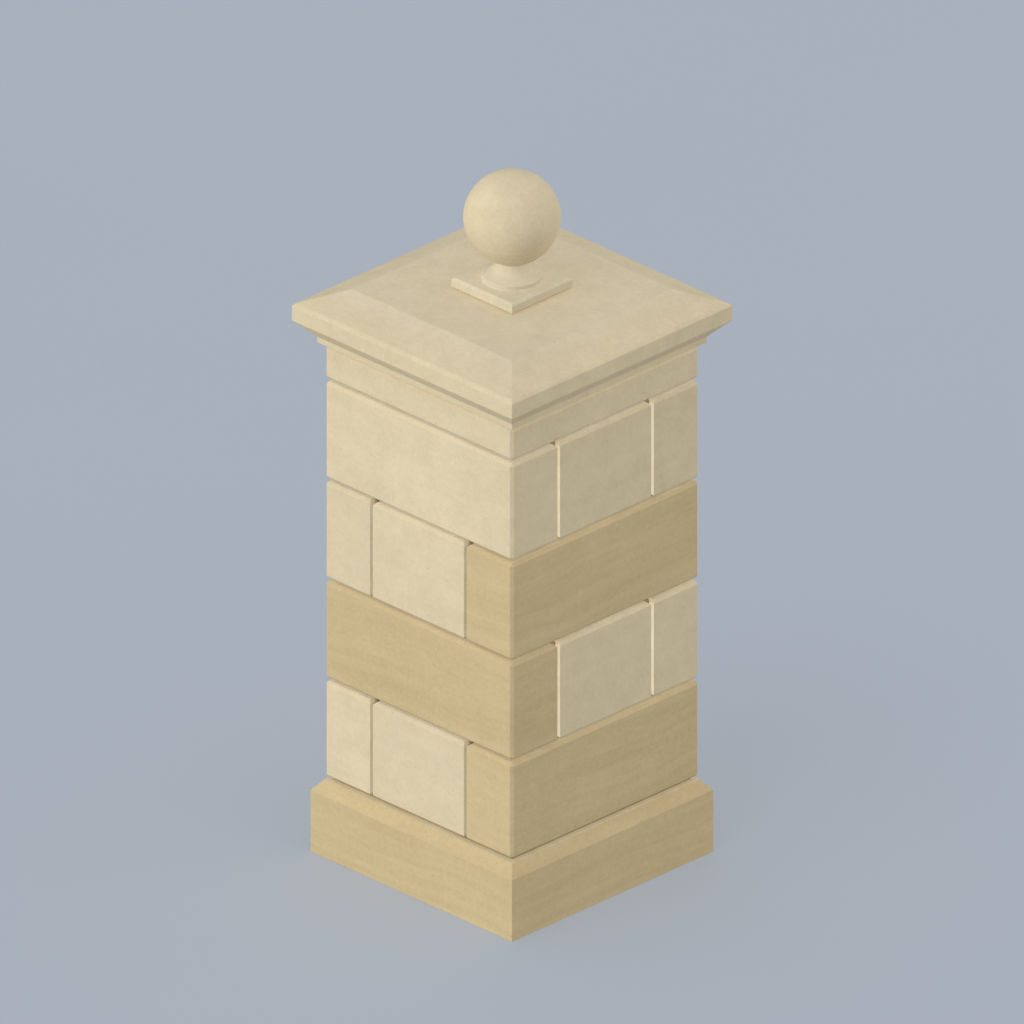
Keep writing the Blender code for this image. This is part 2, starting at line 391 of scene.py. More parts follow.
class MaterialWriter(TreeWriter):
    """Writes a material round one Principled shader, with its patterns on Object coordinates."""

    def __init__(self, name: str, shift: Sequence[float] = (0.0, 0.0, 0.0)) -> None:
        """Makes the material.

        Args:
            name: Its name.
            shift: How far its patterns are moved, so that no two blocks show the same ones.
        """
        self.material = bpy.data.materials.new(name)
        self.material.use_nodes = True
        super().__init__(self.material.node_tree)
        self.shader = self.tree.nodes["Principled BSDF"]
        self.coordinates = self.node("ShaderNodeTexCoord").outputs
        inputs = {"Vector": self.coordinates["Object"], "Location": shift}
        self.place = self.node("ShaderNodeMapping", inputs).outputs[0]

    def noise(
        self, scale: float, detail: float, place: Socket | None = None, roughness: float = 0.55
    ) -> Socket:
        """Adds noise from -1 to 1.

        Args:
            scale: Its features to a metre.
            detail: Its octaves.
            place: The coordinates that it is read at, if not the pattern's own.
            roughness: How strong its fine octaves are.

        Returns:
            The noise.
        """
        place = self.place if place is None else place
        inputs = {"Vector": place, "Scale": scale, "Detail": detail, "Roughness": roughness}
        made = self.node("ShaderNodeTexNoise", inputs).outputs[0]
        return self.math("MULTIPLY_ADD", made, 4.0, -2.0)

    def layers(self, scale: float, dip: float) -> Socket:
        """Adds the level layers of a sediment, which rise and fall gently along a block.

        Args:
            scale: Layers to a metre of height.
            dip: How far they rise and fall.

        Returns:
            The noise, from -1 to 1.
        """
        rise = self.math("MULTIPLY", self.noise(scale=1.9, detail=2.0), dip)
        place = self.vector("ADD", self.place, self.joined(0.0, 0.0, rise))
        place = self.vector("MULTIPLY", place, (0.035, 0.035, 1.0))
        return self.noise(scale, 4.0, place, roughness=0.6)

    def specks(self, scale: float, radius: float, share: float, flatness: float = 1.0) -> Socket:
        """Adds uneven specks of many sizes in some of the cells of a random pattern.

        Args:
            scale: Cells to a metre.
            radius: The largest speck's radius as a share of a cell.
            share: The share of the cells that hold a speck.
            flatness: How many times wider than high the specks are.

        Returns:
            1 inside a speck and 0 outside it.
        """
        place = self.vector("MULTIPLY", self.place, (1.0, 1.0, flatness))
        inputs = {"Vector": place, "Scale": SPECK_BENDS * scale, "Detail": 2.0}
        bend = self.node("ShaderNodeTexNoise", inputs).outputs["Color"]
        place = self.vector("ADD", place, self.vector("MULTIPLY", bend, (SPECK_BEND / scale,) * 3))
        cells = self.node("ShaderNodeTexVoronoi", {"Vector": place, "Scale": scale})
        chance, size, _ = self.node("ShaderNodeSeparateColor", {0: cells.outputs["Color"]}).outputs
        limit = self.math("MULTIPLY_ADD", size, 0.75 * radius, 0.25 * radius)
        past = self.math("SUBTRACT", cells.outputs["Distance"], limit)
        inside = self.ramp(past, -0.35 * radius, 0.0, start=1.0, end=0.0)
        return self.math("MULTIPLY", inside, self.math("LESS_THAN", chance, share))

    def in_joints(self, shaft_width: float) -> Socket:
        """Finds the faces of a block that lie in a joint.

        Args:
            shaft_width: The width of the shaft.

        Returns:
            1 on the beds and on upright faces that are behind those of the shaft, and 0 elsewhere.
        """
        normals = self.parts(self.vector("ABSOLUTE", self.coordinates["Normal"]))
        places = self.parts(self.vector("ABSOLUTE", self.coordinates["Object"]))
        across = [self.ramp(normal, *SQUARE_ON) for normal in normals]
        behind = [self.math("LESS_THAN", place, shaft_width / 2 - BEHIND_FACE) for place in places[:2]]
        walls = [self.math("MULTIPLY", *both) for both in zip(across, behind)]
        return self.math("MAXIMUM", across[2], self.math("MAXIMUM", *walls))

    def total(self, *shares: tuple[Socket, float], start: float = 0.0) -> Socket:
        """Adds patterns up.

        Args:
            *shares: Each pattern and what it is multiplied by.
            start: The number that they are added to.

        Returns:
            The sum.
        """
        made: Value = start
        for pattern, share in shares:
            made = self.math("MULTIPLY_ADD", pattern, share, made)
        return made

    def finish(self, colour: Socket, roughness: Socket, height: Socket, shine: float) -> Material:
        """Joins the patterns to the shader.

        Args:
            colour: The base colour.
            roughness: The roughness.
            height: The relief, in millimetres.
            shine: The specular level.

        Returns:
            The finished material.
        """
        inputs = {"Height": height, "Distance": 0.001, "Strength": 1.0}
        normal = self.node("ShaderNodeBump", inputs).outputs[0]
        for name, socket in (("Base Color", colour), ("Roughness", roughness), ("Normal", normal)):
            self.tree.links.new(socket, self.shader.inputs[name])
        self.shader.inputs["Specular IOR Level"].default_value = shine
        return self.material


@dataclass(frozen=True)
class PaintedLightTint:
    """A tint by height that paints light or shade on a stone: bluer on a top, as painted sky light, or
    cooler and greyer under a ball, as painted shade against the warm light bounced there.

    Attributes:
        level: The height at which the painted tint is full, with all that lies on that side.
        reach: How far over that height the painted tint fades out, or under it where this is negative.
        tint: What its colour is multiplied by where the painted tint is full.
    """

    level: float
    reach: float
    tint: Colour


@dataclass(frozen=True)
class StoneFinish:
    """A dressed building stone.

    Attributes:
        name: What a mason calls it.
        slot: Its material slot in the record, which the script doesn't use.
        colour: Its colour, as the average over a face.
        contrast: How far its darkest and palest parts stand from that colour.
        warmth: What its darker parts are multiplied by, so that they are browner.
        broad: The share of slow changes of tone across a block.
        mottle: The share of hand-sized clouds.
        bedding: The share of its level beds.
        beds: How many beds there are to a metre of height.
        grain: The share of its grains.
        fleck: The colour of its shell or quartz flecks.
        flecks: The share of the cells of their pattern that hold one.
        spot: The colour inside its pits or iron spots.
        spots: The share of the cells of their pattern that hold one.
        flatness: How many times wider than high its flecks and spots are.
        stain_and_joint_light: The pale colour that the mortar's lime gives it on its faces in the joints,
            which also paints light into their shade.
        cloud: The share of clouds as wide as a finger.
        cover: How much of the stone's colour a fleck or spot hides.
        worn_and_highlight: What its colour is multiplied by on a worn arris, which is paler from wear and
            also a painted highlight.
    """

    name: str
    slot: str
    colour: Colour
    contrast: float
    warmth: Colour
    broad: float
    mottle: float
    bedding: float
    beds: float
    grain: float
    fleck: Colour
    flecks: float
    spot: Colour
    spots: float
    flatness: float
    stain_and_joint_light: Colour
    cloud: float = 0.20
    cover: float = 0.45
    worn_and_highlight: float = 1.13

    def cut(
        self, block: int, tone: float = 1.0, shaft_width: float = 0.0, painted_light: PaintedLightTint | None = None
    ) -> Material:
        """Makes the finish of one block.

        Args:
            block: The block's number, which gives it its own part of the bed.
            tone: What the colour is multiplied by, because no two blocks match.
            shaft_width: The width of the shaft, for a block with faces in its joints.
            painted_light: Where light or shade is painted on it as a tint by height, if anywhere.

        Returns:
            The material.
        """
        writer = MaterialWriter(f"{self.name} {block}", tuple(block * step for step in BLOCK_STEP))
        broad = writer.noise(scale=3.1, detail=2.0)
        mottle = writer.noise(scale=19.0, detail=5.0)
        beds = writer.layers(self.beds, dip=0.025)
        cloud = writer.noise(scale=85.0, detail=3.0)
        grain = writer.noise(scale=560.0, detail=2.0)
        flecks = writer.specks(210.0, 0.42, self.flecks, self.flatness)
        spots = writer.specks(115.0, 0.24, self.spots, self.flatness)
        arris = writer.node("ShaderNodeAttribute", attribute_name=ARRIS_MASK).outputs["Fac"]

        clouds = ((broad, self.broad), (mottle, self.mottle), (cloud, self.cloud))
        tones = writer.total(*clouds, (beds, self.bedding), (grain, self.grain), start=0.5)
        pale = tuple(tone * c * (1.0 + self.contrast) for c in self.colour)
        dark = tuple(tone * c * (1.0 - self.contrast) * w for c, w in zip(self.colour, self.warmth))
        colour = writer.mix(tones, dark, pale)
        colour = writer.mix(writer.math("MULTIPLY", flecks, self.cover), colour, self.fleck)
        colour = writer.mix(writer.math("MULTIPLY", spots, self.cover), colour, self.spot)
        # Worn arrises are paler, as wear and as a painted highlight along each edge.
        worn_and_highlight = writer.math("MULTIPLY", arris, writer.ramp(mottle, -0.6, 0.8, start=0.15, end=0.55))
        colour = writer.mix(worn_and_highlight, colour, tuple(tone * min(1.0, c * self.worn_and_highlight) for c in self.colour))
        if shaft_width:
            # A pale lime stain on the faces in the joints, which also paints light into the shade there.
            patchy = writer.ramp(mottle, -1.0, 1.0, start=0.45, end=0.85)
            stain_and_joint_light_share = writer.math("MULTIPLY", writer.in_joints(shaft_width), patchy)
            colour = writer.mix(stain_and_joint_light_share, colour, self.stain_and_joint_light)
        # Painted light: a tint by height, bluer on a top as sky light, or cooler and greyer under a ball as
        # shade.
        if painted_light:
            height = writer.parts(writer.coordinates["Object"])[2]
            share = writer.ramp(height, painted_light.level, painted_light.level + painted_light.reach, start=1.0, end=0.0)
            colour = writer.mix(share, colour, writer.vector("MULTIPLY", colour, painted_light.tint))

        roughness = writer.ramp(cloud, -1.0, 1.0, start=0.80, end=0.95)
        fine = ((grain, 0.07), (beds, 0.04), (flecks, 0.06), (spots, -0.5))
        relief = writer.total((mottle, 0.18), (cloud, 0.11), *fine)
        return writer.finish(colour, roughness, relief, shine=0.25)


@dataclass(frozen=True)
class MortarFinish:
    """Raked lime mortar with coarse sand in it.

    Attributes:
        name: What a mason calls it.
        slot: Its material slot in the record, which the script doesn't use.
        lime: The colour of the lime.
        sand: The colour of the sand between its lightest and darkest grains.
        grit: The colour of the dark grains.
    """

    name: str
    slot: str
    lime: Colour
    sand: Colour
    grit: Colour

    def mixed(self) -> Material:
        """Makes the mortar's finish.

        Returns:
            The material.
        """
        writer = MaterialWriter(self.name)
        cloud = writer.noise(scale=45.0, detail=4.0)
        grain = writer.noise(scale=900.0, detail=2.0)
        grit = writer.specks(520.0, 0.42, share=0.22)
        stones = writer.specks(300.0, 0.36, share=0.20)
        colour = writer.mix(writer.total((cloud, 0.35), (grain, 0.30), start=0.5), self.sand, self.lime)
        colour = writer.mix(writer.math("MULTIPLY", grit, 0.6), colour, self.grit)
        colour = writer.mix(writer.math("MULTIPLY", stones, 0.5), colour, self.lime)
        roughness = writer.ramp(grain, -1.0, 1.0, start=0.88, end=0.99)
        relief = writer.total((cloud, 0.4), (grain, 0.18), (grit, 0.35), (stones, 0.5))
        return writer.finish(colour, roughness, relief, shine=0.15)


@dataclass(frozen=True)
class FloorFinish:
    """A plain painted studio floor.

    Attributes:
        colour: Its colour.
        shade: What the colour is multiplied by where the paint is darkest.
    """

    colour: Colour
    shade: float = 0.985

    def painted(self) -> Material:
        """Makes the floor's finish.

        Returns:
            The material.
        """
        writer = MaterialWriter("painted floor")
        cloud = writer.noise(scale=0.8, detail=2.0)
        darker = tuple(self.shade * c for c in self.colour)
        colour = writer.mix(writer.total((cloud, 0.3), start=0.5), darker, self.colour)
        roughness = writer.ramp(cloud, -1.0, 1.0, start=0.85, end=0.95)
        return writer.finish(colour, roughness, writer.total((cloud, 0.1)), shine=0.1)


LIMESTONE = StoneFinish(
    name="pale limestone",
    slot="pale_limestone",
    colour=(0.700, 0.599, 0.405),
    contrast=0.10,
    warmth=(1.0, 0.985, 0.95),
    broad=0.16,
    mottle=0.22,
    bedding=0.12,
    beds=26.0,
    grain=0.24,
    fleck=(0.84, 0.78, 0.64),
    flecks=0.20,
    spot=(0.44, 0.35, 0.21),
    spots=0.05,
    flatness=1.3,
    stain_and_joint_light=(0.80, 0.75, 0.62),
)
SANDSTONE = StoneFinish(
    name="tan sandstone",
    slot="tan_sandstone",
    colour=(0.604, 0.480, 0.275),
    contrast=0.11,
    warmth=(1.0, 0.97, 0.91),
    broad=0.14,
    mottle=0.13,
    bedding=0.30,
    beds=40.0,
    grain=0.34,
    fleck=(0.72, 0.62, 0.44),
    flecks=0.12,
    spot=(0.34, 0.21, 0.10),
    spots=0.05,
    flatness=2.0,
    stain_and_joint_light=(0.74, 0.66, 0.47),
)
MORTAR = MortarFinish(
    name="raked lime mortar",
    slot="lime_mortar",
    lime=(0.40, 0.33, 0.20),
    sand=(0.26, 0.20, 0.11),
    grit=(0.11, 0.08, 0.045),
)
FLOOR = FloorFinish(colour=(0.461, 0.511, 0.590))


def as_rgba(colour: Value) -> Value:
    """Gives a plain colour its alpha, and leaves a socket as it is."""
    return colour if isinstance(colour, bpy.types.NodeSocket) else (*colour, 1.0)


def made_plain(piece: Piece) -> Piece:
    """Turns a piece with modifiers into a plain mesh.

    Args:
        piece: The piece.

    Returns:
        The same piece without modifiers.
    """
    graph = bpy.context.evaluated_depsgraph_get()
    mesh = bpy.data.meshes.new_from_object(piece.evaluated_get(graph))
    piece.modifiers.clear()
    piece.data = mesh
    mesh.name = piece.name
    return piece


def united(body: Piece, others: Sequence[Piece]) -> Piece:
    """Makes one closed mesh of pieces that run into each other.

    Args:
        body: The piece that stays.
        others: The pieces that it takes in, which are removed.

    Returns:
        The piece that stays.
    """
    for other in others:
        union = body.modifiers.new("Join", "BOOLEAN")
        union.operation = "UNION"
        union.solver = "EXACT"
        union.object = other
    made_plain(body)
    for other in others:
        bpy.data.objects.remove(other, do_unlink=True)
    return body


def place_on_frame(piece: Piece, node: str) -> None:
    """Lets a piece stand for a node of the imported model.

    Args:
        piece: The finished piece.
        node: The node that it replaces.
    """
    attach(piece, ROOT)
    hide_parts(node)
    log.info("%s: %d faces", piece.name, len(piece.data.polygons))


def arc(centre: Point, radius: float, start: float, end: float, steps: int) -> list[Point]:
    """Points on an arc of so many chords, from its start angle to its end angle."""
    angles = [start + (end - start) * i / steps for i in range(steps + 1)]
    return [(centre[0] + radius * math.cos(a), centre[1] + radius * math.sin(a)) for a in angles]


def runs(corners: Sequence[Point], close: float, wide: float) -> list[Point]:
    """Points along a profile's straight runs, close together by its corners and wide apart between.

    Args:
        corners: The profile's corners.
        close: The spacing by a corner, and all along a short run.
        wide: The most that two points between may be apart.

    Returns:
        The points, from the first corner to the last.
    """
    points = [corners[0]]
    for start, end in zip(corners, corners[1:]):
        length = math.dist(start, end)
        near = [close, 2 * close] if length > SHORT_RUN * close else []
        middle = length - 2 * sum(near[-1:])
        count = max(1, math.ceil(middle / (wide if near else close)))
        inner = [sum(near[-1:]) + middle * i / count for i in range(1, count)]
        places = [*near, *inner, *(length - n for n in reversed(near)), length]
        shares = (place / length for place in places)
        points += [tuple(a + (b - a) * share for a, b in zip(start, end)) for share in shares]
    return points


@dataclass(frozen=True)
class Tooling:
    """How closely a surface is modelled and how evenly it was dressed.

    Attributes:
        cell: The spacing of the mesh on flat faces.
        close: The spacing of the mesh by an arris.
        edge_cells: How many cells of the mesh are close together by an arris.
        ease: How many times the arrises are rubbed down.
        uneven: How deep the dressing leaves its hollows.
        uneven_scale: How many hollows there are to a metre.
        wear: How deep the bruises of the arrises are.
    """

    cell: float = 0.010
    close: float = 0.0013
    edge_cells: int = 10
    ease: int = 1
    uneven: float = 0.0005
    uneven_scale: float = 9.0
    wear: float = 0.0005


@dataclass(frozen=True)
class Dressing:
    """The surface of one piece.

    Attributes:
        tooling: How it is dressed.
        seed: What its unevenness starts from.
        material: Its material.
    """

    tooling: Tooling
    seed: int
    material: Material

    def inputs(self) -> dict[str, object]:
        """The inputs that every stone tree shares.

        Returns:
            The values by the inputs' names.
        """
        return {
            "Edge Cells": self.tooling.edge_cells,
            "Edge Zone": self.tooling.edge_cells * self.tooling.close,
            "Ease": self.tooling.ease,
            "Unevenness": self.tooling.uneven,
            "Uneven Scale": self.tooling.uneven_scale,
            "Wear": self.tooling.wear,
            "Seed": self.seed,
            "Material": self.material,
        }


@dataclass
class Workshop:
    """The two trees that shape every piece.

    Attributes:
        blocks: The tree of squared blocks.
        mouldings: The tree of swept mouldings.
        shaft_width: The width of the shaft, whose corners are chamfered.
    """

    blocks: DressedBlock
    mouldings: SweptMoulding
    shaft_width: float

    def block(
        self, name: str, low: Vector, high: Vector, chamfer: float, dressing: Dressing,
        cell: Sequence[float] | None = None,
    ) -> Piece:
        """Cuts a squared block.

        Args:
            name: The block's name.
            low: Its lowest corner.
            high: Its highest corner.
            chamfer: The leg of its chamfers.
            dressing: Its surface.
            cell: The spacing of its mesh on each axis, if not the tooling's.

        Returns:
            The block.
        """
        tooling = dressing.tooling
        values = dressing.inputs()
        values["Size"] = tuple(high - low)
        values["Centre"] = tuple((high + low) / 2)
        values["Cell"] = tuple(cell or (tooling.cell,) * 3)
        values["Shaft Width"] = self.shaft_width
        values["Chamfer"] = chamfer
        if chamfer:
            values["Edge Zone"] = tooling.edge_cells * chamfer / CHAMFER_CELLS
        return self.blocks.shape(name, values)

    def moulding(self, name: str, points: Sequence[Point], plan: Plan, dressing: Dressing) -> Piece:
        """Carries a profile round a square or a circle.

        Args:
            name: The piece's name.
            points: The profile's (reach, height) points from the bottom up.
            plan: What it is carried round.
            dressing: Its surface.

        Returns:
            The piece.
        """
        widest = max(reach for reach, _ in points)
        side = 2 * widest if plan is Plan.SQUARE else math.pi / 2 * widest
        values = dressing.inputs()
        values["Round"] = plan is Plan.ROUND
        values["Side Cells"] = math.ceil(side / dressing.tooling.cell) + 2 * dressing.tooling.edge_cells
        profile = bpy.data.meshes.new("profile")
        edges = [(i, i + 1) for i in range(len(points) - 1)]
        profile.from_pydata([(reach, 0.0, height) for reach, height in points], edges, [])
        return self.mouldings.shape(name, values, profile)


@dataclass
class Plinth:
    """The plinth: an upright face and a weathering that slopes in to the shaft.

    Attributes:
        face_height: The height of its upright face.
        tooling: How it is dressed.
    """

    face_height: float = 0.156
    tooling: Tooling = Tooling()

    def build(self, shop: Workshop) -> None:
        """Cuts the plinth and dresses it.

        Args:
            shop: The trees.
        """
        low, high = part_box("plinth")
        corners = [
            (0.0, low.z),
            (high.x, low.z),
            (high.x, low.z + self.face_height),
            (shop.shaft_width / 2, high.z),
            (0.0, high.z),
        ]
        points = runs(corners, self.tooling.close, self.tooling.cell)
        material = SANDSTONE.cut(block=1, shaft_width=shop.shaft_width)
        dressing = Dressing(self.tooling, seed=1, material=material)
        stone = shop.moulding("plinth_stone", points, Plan.SQUARE, dressing)
        place_on_frame(stone, "plinth")


@dataclass
class Ashlar:
    """The squared stones of the courses and of the neck.

    Attributes:
        chamfer: The leg of their chamfered arrises.
        tone_steps: The tones that the stones take in turn.
        tan: The nodes of the sandstone blocks.
        tooling: How they are dressed.
    """

    chamfer: float = 0.007
    tone_steps: tuple[float, ...] = (1.0, 0.975, 1.02, 0.99, 1.012)
    tan: tuple[str, ...] = ("course_1_right_stone", "course_2_front_stone", "course_3_right_stone")
    tooling: Tooling = Tooling()

    def build(self, shop: Workshop) -> None:
        """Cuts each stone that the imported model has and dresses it.

        Args:
            shop: The trees.
        """
        names = sorted(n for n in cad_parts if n.startswith("course_") and n.endswith("_stone"))
        for number, node in enumerate([*names, "neck_course"], start=2):
            finish = SANDSTONE if node in self.tan else LIMESTONE
            tone = self.tone_steps[number % len(self.tone_steps)]
            dressing = Dressing(self.tooling, number, finish.cut(number, tone, shop.shaft_width))
            stone = shop.block(f"{node}_dressed", *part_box(node), self.chamfer, dressing)
            place_on_frame(stone, node)


@dataclass
class CapStone:
    """The cap: a fillet, a 45 degree soffit, a fascia, a chamfered arris, slopes and a flat top.

    Attributes:
        fillet_height: The height of the fillet.
        soffit: How far the soffit comes out, and how high it rises.
        fascia_height: The height of the fascia.
        arris: The leg of the chamfer over the fascia.
        slope_run: How far the slopes run in.
        tooling: How it is dressed.
    """

    fillet_height: float = 0.015
    soffit: float = 0.0405
    fascia_height: float = 0.0375
    arris: float = 0.007
    slope_run: float = 0.08975
    tooling: Tooling = Tooling()

    def build(self, shop: Workshop) -> None:
        """Cuts the cap and dresses it.

        Args:
            shop: The trees.
        """
        low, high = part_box("cap_stone")
        fascia = high.x
        fillet = fascia - self.soffit
        soffit_low = low.z + self.fillet_height
        soffit_top = soffit_low + self.soffit
        fascia_top = soffit_top + self.fascia_height
        corners = [
            (0.0, low.z),
            (fillet, low.z),
            (fillet, soffit_low),
            (fascia, soffit_top),
            (fascia, fascia_top),
            (fascia - self.arris, fascia_top + self.arris),
            (fascia - self.arris - self.slope_run, high.z),
            (0.0, high.z),
        ]
        points = runs(corners, self.tooling.close, self.tooling.cell)
        # Painted sky light: the top of the cap is tinted bluer.
        painted_light = PaintedLightTint(level=high.z, reach=-0.02, tint=(1.005, 1.020, 1.075))
        material = LIMESTONE.cut(block=30, tone=0.995, painted_light=painted_light)
        dressing = Dressing(self.tooling, seed=30, material=material)
        stone = shop.moulding("cap_stone_dressed", points, Plan.SQUARE, dressing)
        place_on_frame(stone, "cap_stone")


@dataclass
class BallFinial:
    """The finial: a square plate with a turned foot and ball, cut from one stone.

    Attributes:
        plate_width: The width of the plate.
        plate_thickness: Its thickness, from the cap's top.
        plate_arris: The leg of its chamfers.
        foot_radius: The radius of the foot's rim.
        rim_height: The height of the rim.
        hollow_height: The height of the hollow curve over the rim.
        hollow_depth: How deep the hollow curve is sunk at its middle.
        neck_radius: The radius of the neck under the ball.
        overlap: How deep the foot runs into the plate.
        rim_close: The spacing of the mesh by the rim's corners.
        rim_cell: The spacing of the mesh between them.
        hollow_steps: How many chords the hollow curve has.
        ball_steps: How many chords the ball has from its neck to its top.
        tooling: How the plate is dressed.
        turning: How the foot and ball are dressed.
    """

    plate_width: float = 0.195
    plate_thickness: float = 0.029
    plate_arris: float = 0.0055
    foot_radius: float = 0.070
    rim_height: float = 0.0115
    hollow_height: float = 0.035
    hollow_depth: float = 0.0077
    neck_radius: float = 0.034
    overlap: float = 0.004
    rim_close: float = 0.0016
    rim_cell: float = 0.006
    hollow_steps: int = 14
    ball_steps: int = 52
    tooling: Tooling = Tooling(cell=0.008)
    turning: Tooling = Tooling(cell=0.0055, uneven_scale=14.0, wear=0.0)

    def build(self, shop: Workshop) -> None:
        """Cuts the finial and dresses it.

        Args:
            shop: The trees.
        """
        low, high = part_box("ball_finial")
        half = self.plate_width / 2
        plate_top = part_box("cap_stone")[1].z + self.plate_thickness
        neck = plate_top + self.rim_height + self.hollow_height
        # Painted shade: the foot and plate under the ball are tinted cooler and greyer, against the warm
        # light bounced there.
        painted_light = PaintedLightTint(level=neck, reach=0.08, tint=(0.965, 1.010, 1.090))
        material = LIMESTONE.cut(block=34, tone=1.01, painted_light=painted_light)
        corners = Vector((-half, -half, low.z)), Vector((half, half, plate_top))
        dressing = Dressing(self.tooling, seed=31, material=material)
        plate = shop.block("ball_finial_dressed", *corners, self.plate_arris, dressing)
        points = self.turned_profile(plate_top, neck, high.z)
        dressing = Dressing(self.turning, seed=32, material=material)
        turned = shop.moulding("turned_part", points, Plan.ROUND, dressing)
        place_on_frame(united(plate, [turned]), "ball_finial")

    def turned_profile(self, plate_top: float, neck: float, ball_top: float) -> list[Point]:
        """The profile of the foot and ball.

        Args:
            plate_top: The height of the plate's top.
            neck: The height of the neck.
            ball_top: The height of the ball's top.

        Returns:
            Its points from the bottom up.
        """
        base, rim_top = plate_top - self.overlap, plate_top + self.rim_height
        rise = ball_top - neck
        ball_radius = (rise**2 + self.neck_radius**2) / (2 * rise)
        corners = [(0.0, base), (self.foot_radius, base), (self.foot_radius, rim_top)]
        rim = runs(corners, self.rim_close, self.rim_cell)
        hollow = self.hollow((self.foot_radius, rim_top), (self.neck_radius, neck))
        start = math.asin(self.neck_radius / ball_radius) - math.pi / 2
        ball = arc((0.0, ball_top - ball_radius), ball_radius, start, math.pi / 2, self.ball_steps)
        return [*rim, *hollow[1:], *ball[1:-1], (0.0, ball_top)]

    def hollow(self, lower: Point, upper: Point) -> list[Point]:
        """The hollow curve between the rim and the neck.

        Args:
            lower: Its lower end.
            upper: Its upper end.

        Returns:
            Its points from the bottom up.
        """
        low, high = Vector(lower), Vector(upper)
        chord = high - low
        radius = (chord.length_squared / 4 + self.hollow_depth**2) / (2 * self.hollow_depth)
        outward = Vector((chord.y, -chord.x)).normalized()
        centre = (low + high) / 2 + outward * (radius - self.hollow_depth)
        start, end = (math.atan2(p.y - centre.y, p.x - centre.x) % math.tau for p in (low, high))
        return arc(tuple(centre), radius, start, end, self.hollow_steps)


@dataclass
class Mortar:
    """The raked mortar: a bed under each course, and the fins that stand in its upright joints.

    Attributes:
        joint: The width of a joint.
        clearance: The air on each side of the mortar in it.
        rake: How far the fins stand back from the face of the shaft.
        end_stone: The width of a course's end stones.
        covered_cell: The spacing of the mesh that stones cover.
        tooling: How rough the raked faces are.
    """

    joint: float = 0.0075
    clearance: float = 0.0003
    rake: float = 0.014
    end_stone: float = 0.14625
    covered_cell: float = 0.06
    tooling: Tooling = Tooling(
        cell=0.004, close=0.0012, edge_cells=1, uneven=0.0009, uneven_scale=150.0, wear=0.0
    )

    def build(self, shop: Workshop) -> None:
        """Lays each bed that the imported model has, with the fins that stand on it.

        Args:
            shop: The trees.
        """
        material = MORTAR.mixed()
        names = sorted(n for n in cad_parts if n.startswith("mortar_"))
        for seed, node in enumerate(names, start=40):
            low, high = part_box(node)
            thickness = self.joint - 2 * self.clearance
            points = self.bed_profile(min(high.x, high.y), low.z, low.z + thickness)
            dressing = Dressing(self.tooling, seed, material)
            bed = shop.moulding(f"{node}_raked", points, Plan.SQUARE, dressing)
            if high.z - low.z > self.joint:
                bed = united(bed, self.fins(node, shop, low.z + thickness / 2, high.z, dressing))
            place_on_frame(bed, node)

    def bed_profile(self, reach: float, bottom: float, top: float) -> list[Point]:
        """The profile of a bed, with its mesh close at the raked face and wide where stones cover it.

        Args:
            reach: Half the width of the bed.
            bottom: Its lowest height.
            top: Its highest height.

        Returns:
            Its points from the bottom up.
        """
        under = runs([(0.0, bottom), (reach, bottom)], self.tooling.close, self.covered_cell)
        face = runs([(reach, bottom), (reach, top)], self.tooling.close, self.tooling.cell)
        over = [(point[0], top) for point in reversed(under)]
        return [*under, *face[1:-1], *over]

    def fins(self, node: str, shop: Workshop, bottom: float, top: float, dressing: Dressing) -> list[Piece]:
        """The mortar of a course's two upright joints.

        Args:
            node: The name of its node, whose course says which way the stones run.
            shop: The trees.
            bottom: Where the fins start, inside the bed.
            top: Where they end, level with the stones.
            dressing: The surface of the bed and of the first fin.

        Returns:
            The two fins.
        """
        course = node.removeprefix("mortar_")
        along_y = f"{course}_left_stone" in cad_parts
        length = shop.shaft_width / 2 - self.rake
        start = self.end_stone + self.clearance - shop.shaft_width / 2
        end = start + self.joint - 2 * self.clearance
        made = []
        for near, far in ((start, end), (-end, -start)):
            low, high = Vector((near, -length, bottom)), Vector((far, length, top))
            cell = (self.tooling.cell, shop.shaft_width, self.tooling.cell)
            if not along_y:
                low, high, cell = low.yxz, high.yxz, (cell[1], cell[0], cell[2])
            surface = replace(dressing, seed=dressing.seed + len(made))
            made.append(shop.block(f"{node}_fin_{len(made)}", low, high, 0.0, surface, cell))
        return made


@dataclass(frozen=True)
class Lamp:
    """A studio lamp that is large enough to be soft.

    Attributes:
        name: Its name.
        light_from: The direction that its light comes from.
        strength: Its strength.
        width: Its width as the pier sees it, in degrees.
        throws_shadow: Whether it throws a shadow, which lamps that only open up the joints don't.
    """

    name: str
    light_from: tuple[float, float, float]
    strength: float
    width: float = 30.0
    throws_shadow: bool = False

    def hang(self) -> None:
        """Hangs the lamp."""
        lamp = bpy.data.lights.new(self.name, "SUN")
        lamp.energy = self.strength
        lamp.angle = math.radians(self.width)
        lamp.use_shadow = self.throws_shadow
        hung = bpy.data.objects.new(self.name, lamp)
        hung.rotation_euler = Vector(self.light_from).to_track_quat("Z", "Y").to_euler()
        bpy.context.scene.collection.objects.link(hung)


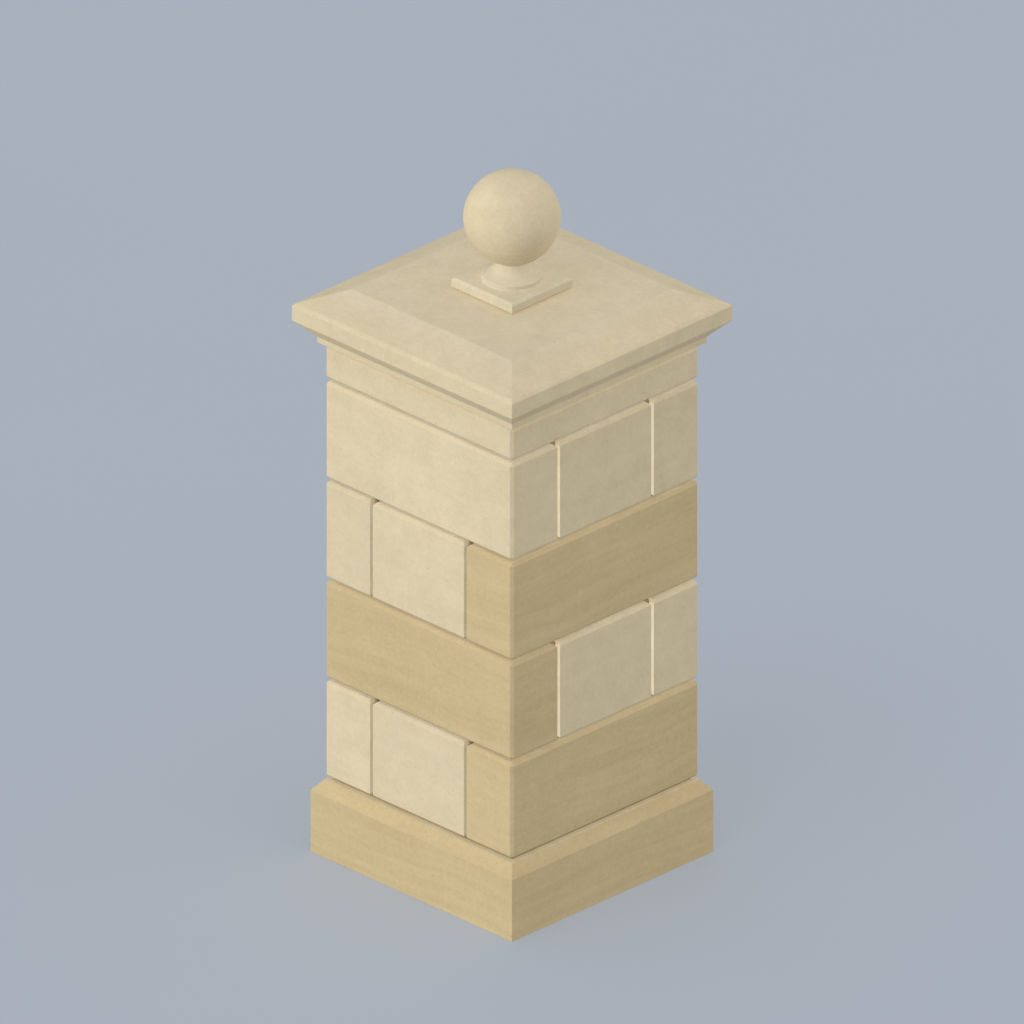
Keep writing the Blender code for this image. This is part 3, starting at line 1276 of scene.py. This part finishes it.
@dataclass
class Studio:
    """A plain pale floor, soft lamps, even light from all round and the camera.

    Attributes:
        floor_width: The width of the floor.
        azimuth: The camera's angle round the pier, in degrees, where 0 looks along +Y.
        elevation: Its angle above the level, in degrees.
        view_width: The width of its view, which has no perspective.
        view_depth: How far it sees.
        aim_height: The height on the pier's axis that it looks at.
        distance: Its distance from there.
        lamps: The lamps.
        even_light: The light that comes from all round.
        backdrop: What the camera sees past the floor, which is the floor's own tone.
    """

    floor_width: float = 130.0
    azimuth: float = 45.0
    elevation: float = 26.72
    view_width: float = 2.3157
    view_depth: float = 100.0
    aim_height: float = 0.8595
    distance: float = 14.0
    lamps: tuple[Lamp, ...] = (
        Lamp("high lamp", (0.042, -0.617, 0.786), 0.20, width=40.0, throws_shadow=True),
        Lamp("high fill", (0.042, -0.617, 0.786), 0.88),
        Lamp("low fill", (-0.290, -0.950, 0.116), 1.11),
        Lamp("back fill", (0.593, 0.749, 0.295), 0.94),
    )
    even_light: Colour = (0.451, 0.455, 0.460)
    backdrop: Colour = (0.397, 0.441, 0.503)

    def build(self) -> None:
        """Sets up the floor, the light and the camera."""
        self.lay_floor()
        self.light()
        self.aim_camera()
        bpy.context.scene.view_settings.view_transform = "Standard"
        log.info("studio: floor, lamps and camera")

    def lay_floor(self) -> None:
        """Lays the floor under the pier."""
        half = self.floor_width / 2
        mesh = bpy.data.meshes.new("floor")
        corners = [(-half, -half, 0.0), (half, -half, 0.0), (half, half, 0.0), (-half, half, 0.0)]
        mesh.from_pydata(corners, [], [(0, 1, 2, 3)])
        mesh.materials.append(FLOOR.painted())
        floor = bpy.data.objects.new("floor", mesh)
        bpy.context.scene.collection.objects.link(floor)
        floor.visible_diffuse = False

    def light(self) -> None:
        """Hangs the lamps and sets the even light."""
        for lamp in self.lamps:
            lamp.hang()
        world = bpy.data.worlds.new("even light")
        world.use_nodes = True
        writer = TreeWriter(world.node_tree)
        seen = writer.node("ShaderNodeLightPath").outputs["Is Camera Ray"]
        colour = writer.mix(seen, self.even_light, self.backdrop)
        writer.tree.links.new(colour, writer.tree.nodes["Background"].inputs["Color"])
        bpy.context.scene.world = world

    def aim_camera(self) -> None:
        """Places the camera at the photograph's angle."""
        turn, rise = math.radians(self.azimuth), math.radians(self.elevation)
        back = Vector((math.sin(turn) * math.cos(rise), -math.cos(turn) * math.cos(rise), math.sin(rise)))
        lens = bpy.data.cameras.new("camera")
        lens.type = "ORTHO"
        lens.ortho_scale = self.view_width
        lens.clip_end = self.view_depth
        camera = bpy.data.objects.new("camera", lens)
        camera.location = Vector((0.0, 0.0, self.aim_height)) + back * self.distance
        camera.rotation_euler = back.to_track_quat("Z", "Y").to_euler()
        bpy.context.scene.collection.objects.link(camera)
        bpy.context.scene.camera = camera


def main() -> None:
    """Builds the studio and dresses the pier from the ground up."""
    logging.basicConfig(level=logging.INFO, format="%(message)s")
    shaft_width = 2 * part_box("neck_course")[1].x
    shop = Workshop(DressedBlock(), SweptMoulding(), shaft_width)
    Studio().build()
    for part in (Plinth(), Ashlar(), CapStone(), BallFinial(), Mortar()):
        part.build(shop)


if __name__ == "__main__":
    main()
